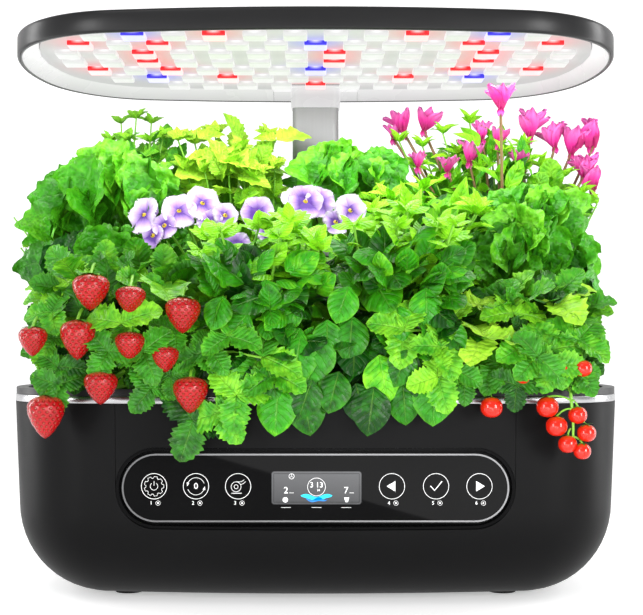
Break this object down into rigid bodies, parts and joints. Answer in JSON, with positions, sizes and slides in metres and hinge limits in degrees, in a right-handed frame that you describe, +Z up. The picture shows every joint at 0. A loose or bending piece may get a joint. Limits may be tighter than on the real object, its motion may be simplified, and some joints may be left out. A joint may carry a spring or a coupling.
{
  "type": "countertop hydroponic garden",
  "caption": "Countertop hydroponic garden: bowl-shaped water base with a touch panel, planted grow deck, hinged fill cap, and a lamp hood on a sliding mast.",
  "frame": {"origin": "centre of the footprint, on the surface that the feet stand on", "axes": "+Z up, the control panel faces -Y, +X to the right seen from the front"},
  "size_m": [0.4228, 0.266, 0.3637],
  "materials": {
    "shell": "satin charcoal",
    "fascia": "satin charcoal",
    "bezel": "gloss black",
    "bright_frame": "polished line",
    "panel_glass": "polished black glass",
    "display": "dark grey display",
    "board": "green circuit board",
    "contacts": "plated",
    "silver_trim": "satin silver",
    "tank": "black",
    "deck": "black",
    "basket": "black",
    "sponge": "dark open foam",
    "port": "black",
    "steel": "plain",
    "feet": "black rubber",
    "pump": "black",
    "ceramic_shaft": "white",
    "pipe": "milky",
    "float": "white foam",
    "socket": "black",
    "mast": "satin grey",
    "bush": "black",
    "hood": "satin black",
    "reflector": "white",
    "lamp_board": "white lamp board",
    "white_lamp": "white lens",
    "red_lamp": "red lens",
    "blue_lamp": "blue lens",
    "leaf": "fresh leaves",
    "strawberry": "glossy red fruit",
    "tomato": "glossy red fruit"
  },
  "bodies": {
    "base": {"back_lettuce_plant": "leaf", "base_shell": "shell", "baskets_back": "basket", "baskets_front": "basket", "baskets_middle": "basket", "bottom_cover": "shell", "broadleaf_basil_plant": "leaf", "cherry_tomatoes": "tomato", "control_bezel": "bezel", "control_board": "board", "cover_screws": "steel", "cyclamen_plant": "leaf", "dc_jack": "socket", "fill_cap_pin": "steel", "fill_port": "port", "float_stem": "pipe", "frilled_lettuce_plant": "leaf", "front_fascia": "fascia", "glass_frame": "bright_frame", "green_lettuce_plant": "leaf", "grow_deck": "deck", "grow_sponges": "sponge", "lcd_module": "display", "lemon_balm_plant": "leaf", "mast_bush": "bush", "mast_sleeve": "mast", "mast_socket": "socket", "mint_plant": "leaf", "pansy_plant": "leaf", "pump_housing": "pump", "pump_shaft": "ceramic_shaft", "pump_strainer": "pump", "riser_pipe": "pipe", "rubber_feet": "feet", "spray_head": "pump", "strawberries": "strawberry", "strawberry_plant": "leaf", "sweet_basil_plant": "leaf", "tall_basil_plant": "leaf", "tomato_plant": "leaf", "touch_panel": "panel_glass", "touch_springs": "contacts", "trim_band": "silver_trim", "water_tank": "tank"},
    "light": {"mast_inner": "mast", "mast_glide": "bush", "mast_cover": "reflector", "hood_shell": "hood", "hood_tray": "reflector", "led_board": "lamp_board", "white_leds": "white_lamp", "red_leds": "red_lamp", "blue_leds": "blue_lamp", "hood_bracket": "bush", "hood_screws": "steel"},
    "impeller": {"pump_impeller": "pump"},
    "float": {"level_float": "float"},
    "cap": {"fill_cap": "port"}
  },
  "joints": [
    {"name": "light_height", "type": "slide", "parent": "base", "child": "light", "axis": [0, 0, 1], "range_m": [-0.004, 0.11]},
    {"name": "impeller_spin", "type": "hinge", "parent": "base", "child": "impeller", "pos_m": [0.092, 0.028, 0.03], "axis": [0, 0, 1], "continuous": true},
    {"name": "float_rise", "type": "slide", "parent": "base", "child": "float", "axis": [0, 0, 1], "range_m": [0, 0.05]},
    {"name": "fill_cap_hinge", "type": "hinge", "parent": "base", "child": "cap", "pos_m": [0.1882, 0, 0.1339], "axis": [0, 1, 0], "range_deg": [0, 95]}
  ]
}
